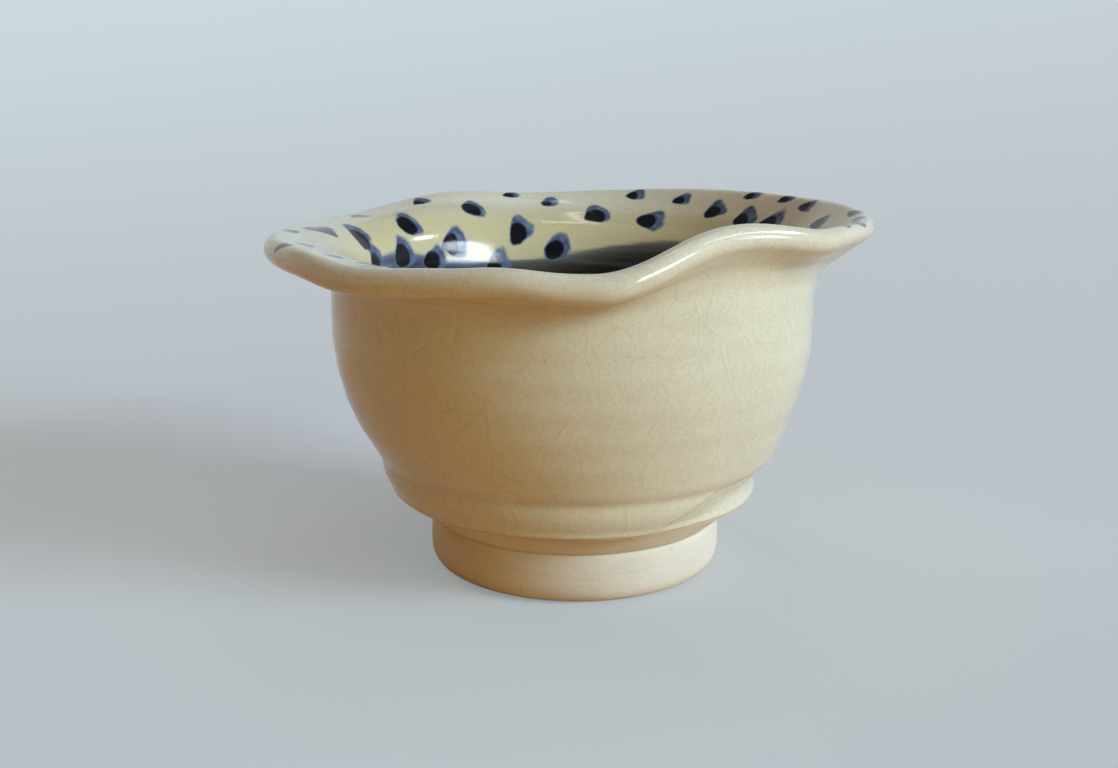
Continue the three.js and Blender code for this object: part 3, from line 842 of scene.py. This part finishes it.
def backdrop():
    """The floor, which rises in a curve behind the cup."""
    turn = np.linspace(0, math.radians(BACKDROP_TURN), 31)
    line = [(FLOOR_FRONT, 0.0)]
    line += [
        (FLOOR_BACK + BACKDROP_RADIUS * math.sin(angle), BACKDROP_RADIUS * (1 - math.cos(angle)))
        for angle in turn
    ]
    sides = (-FLOOR_HALF_WIDTH, FLOOR_HALF_WIDTH)
    vertices = [(x, y, z - FLOOR_BELOW_FOOT) for x in sides for y, z in line]
    count = len(line)
    faces = [(i, i + count, i + count + 1, i + 1) for i in range(count - 1)]
    mesh = bpy.data.meshes.new("floor")
    mesh.from_pydata(vertices, [], faces)
    mesh.shade_smooth()
    floor = bpy.data.objects.new("floor", mesh)
    bpy.context.scene.collection.objects.link(floor)
    mesh.materials.append(floor_material())


def seen_directly(tree):
    """One where the eye sees a surface straight, in a reflection or through glass, and nought where it only
    passes its light on."""
    path = tree.nodes.new("ShaderNodeLightPath")
    seen = path.outputs["Is Camera Ray"]
    for name in ("Is Glossy Ray", "Is Transmission Ray"):
        highest = tree.nodes.new("ShaderNodeMath")
        highest.operation = "MAXIMUM"
        tree.links.new(seen, highest.inputs[0])
        tree.links.new(path.outputs[name], highest.inputs[1])
        seen = highest.outputs[0]
    return seen


backdrop()

# Light

LIT_HEIGHT = 0.025
ROOM_SHADE = (0.17, 0.055, 0.01, 1)
ROOM_LEVEL = (0.5, 0.59, 0.64, 1)
ROOM_ABOVE = (0.15, 0.17, 0.18, 1)
ROOM_CLIMB = (0.15, 0.6)  # the sines of the angles between which the seen room darkens


def softbox(name, azimuth, elevation, distance, size, power, tint, diffuse=True, glossy=True):
    """A lamp that faces the cup and lights it, shows in its gloss, or both. Its place is in degrees and
    metres, its size in metres and its power in watts."""
    lamp = bpy.data.lights.new(name, "AREA")
    lamp.shape = "RECTANGLE"
    lamp.size, lamp.size_y = size
    lamp.energy = power
    lamp.color = tint
    box = bpy.data.objects.new(name, lamp)
    box.visible_diffuse, box.visible_glossy = diffuse, glossy
    turn, rise = math.radians(azimuth), math.radians(elevation)
    toward = Vector((math.cos(rise) * math.cos(turn), math.cos(rise) * math.sin(turn), math.sin(rise)))
    box.location = Vector((0, 0, LIT_HEIGHT)) + toward * distance
    box.rotation_euler = toward.to_track_quat("Z", "Y").to_euler()
    bpy.context.scene.collection.objects.link(box)


# Windows at the front right, whose light and whose reflections are kept apart
softbox("window", -20, 22, 3.0, (1.2, 0.85), 97.0, (0.645, 0.815, 1.0), glossy=False)
softbox("window_beside", -52, 20, 3.0, (2.4, 1.2), 21.5, (0.97, 1.0, 0.6), glossy=False)
softbox("pane", -30, 12.5, 3.0, (1.7, 0.72), 88.0, (0.76, 0.89, 1.0), diffuse=False)
softbox("pane_above", 6, 34, 3.0, (0.6, 0.36), 26.0, (0.9, 0.97, 1.0), diffuse=False)

# Weak light from overhead, from the left, from behind and from the sky
softbox("ceiling", 75, 68, 2.6, (0.5, 0.2), 1.6, (1.0, 0.98, 0.95))
softbox("fill_left", -165, 6, 3.0, (1.6, 1.0), 3.2, (1.0, 0.72, 0.3))
softbox("behind", 138, 24, 3.0, (1.5, 0.9), 17.0, (0.84, 1.0, 0.94), glossy=False)
softbox("sky", 0, 90, 3.0, (3.0, 3.0), 21.2, (0.53, 0.66, 0.9), glossy=False)


def room_light():
    """A warm shade on the cup from all round, in a room that looks pale and darkens overhead."""
    world = bpy.data.worlds.new("room")
    bpy.context.scene.world = world
    world.use_nodes = True
    tree = world.node_tree
    shade = tree.nodes.new("ShaderNodeMix")
    shade.data_type = "RGBA"
    tree.links.new(seen_directly(tree), shade.inputs[0])
    shade.inputs[6].default_value = ROOM_SHADE
    seen_room = tree.nodes.new("ShaderNodeMix")
    seen_room.data_type = "RGBA"
    seen_room.inputs[6].default_value = ROOM_LEVEL
    seen_room.inputs[7].default_value = ROOM_ABOVE
    direction = tree.nodes.new("ShaderNodeSeparateXYZ")
    tree.links.new(tree.nodes.new("ShaderNodeTexCoord").outputs["Generated"], direction.inputs[0])
    climb = tree.nodes.new("ShaderNodeMapRange")
    climb.interpolation_type = "SMOOTHSTEP"
    climb.inputs["From Min"].default_value, climb.inputs["From Max"].default_value = ROOM_CLIMB
    tree.links.new(direction.outputs["Z"], climb.inputs["Value"])
    tree.links.new(climb.outputs["Result"], seen_room.inputs[0])
    tree.links.new(seen_room.outputs[2], shade.inputs[7])
    tree.links.new(shade.outputs[2], tree.nodes["Background"].inputs["Color"])


room_light()

# Camera, where the photographer's was

FOCAL, WIDTH = 1400.0, 1118.0  # in the photograph's pixels
SENSOR = 36.0
PITCH, YAW, ROLL = 13.840, -0.694, 0.2586
CAMERA_BEFORE_AXIS, CAMERA_HEIGHT = 149.68, 56.33  # in millimetres


def photographers_camera():
    """Looks along the photograph's pitch and yaw in degrees, from in front of the cup's axis."""
    pitch, yaw, roll = (math.radians(angle) for angle in (PITCH, YAW, ROLL))
    ahead = Vector((math.sin(yaw) * math.cos(pitch), math.cos(yaw) * math.cos(pitch), -math.sin(pitch)))
    level = Vector((math.cos(yaw), -math.sin(yaw), 0))
    upright = level.cross(ahead)
    right = level * math.cos(roll) + upright * math.sin(roll)
    top = upright * math.cos(roll) - level * math.sin(roll)
    lens = bpy.data.cameras.new("camera")
    lens.sensor_fit = "HORIZONTAL"
    lens.sensor_width = SENSOR
    lens.lens = FOCAL / WIDTH * SENSOR
    lens.clip_start = 0.01
    camera = bpy.data.objects.new("camera", lens)
    place = Vector((AXIS[0], -CAMERA_BEFORE_AXIS + AXIS[1], CAMERA_HEIGHT)) * MM
    camera.matrix_world = Matrix.Translation(place) @ Matrix((right, top, -ahead)).transposed().to_4x4()
    bpy.context.scene.collection.objects.link(camera)
    bpy.context.scene.camera = camera


photographers_camera()
bpy.context.scene.view_settings.view_transform = "Standard"
